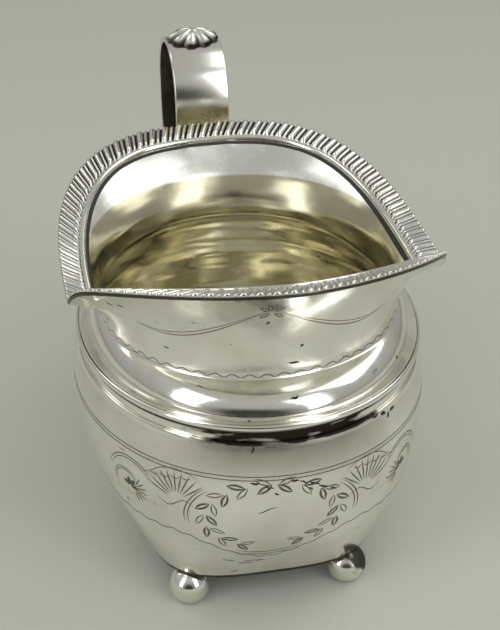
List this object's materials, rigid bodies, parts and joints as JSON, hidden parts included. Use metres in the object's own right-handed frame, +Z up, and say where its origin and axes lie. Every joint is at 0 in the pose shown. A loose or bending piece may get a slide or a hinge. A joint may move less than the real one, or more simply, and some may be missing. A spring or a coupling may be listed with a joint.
{
  "type": "cream jug",
  "caption": "Oblong silver cream jug with a raised pouring lip, a gadroon rim, a strap handle with a shell thumbpiece, and ball feet.",
  "frame": {"origin": "on the table, under the middle of the whole length from lip to handle", "axes": "+Z up, the lip points to -Y, the handle is at +Y, X is across the body"},
  "size_m": [0.0784, 0.1228, 0.0968],
  "materials": {
    "silver": "worn polished silver",
    "engraved_silver": "worn polished silver with bright-cut engraving",
    "gilt_lined_silver": "worn polished silver, warm gilt tint inside",
    "border_silver": "cast silver with dark tarnish in the grooves"
  },
  "bodies": {
    "root": {"lower_body": "engraved_silver", "upper_body": "gilt_lined_silver", "base_plate": "silver", "waist_reed": "silver", "rim_wire": "silver", "gadroon_border": "border_silver", "handle_strap": "silver", "thumbpiece": "border_silver", "foot_front_left": "silver", "foot_front_right": "silver", "foot_back_left": "silver", "foot_back_right": "silver"}
  },
  "joints": []
}
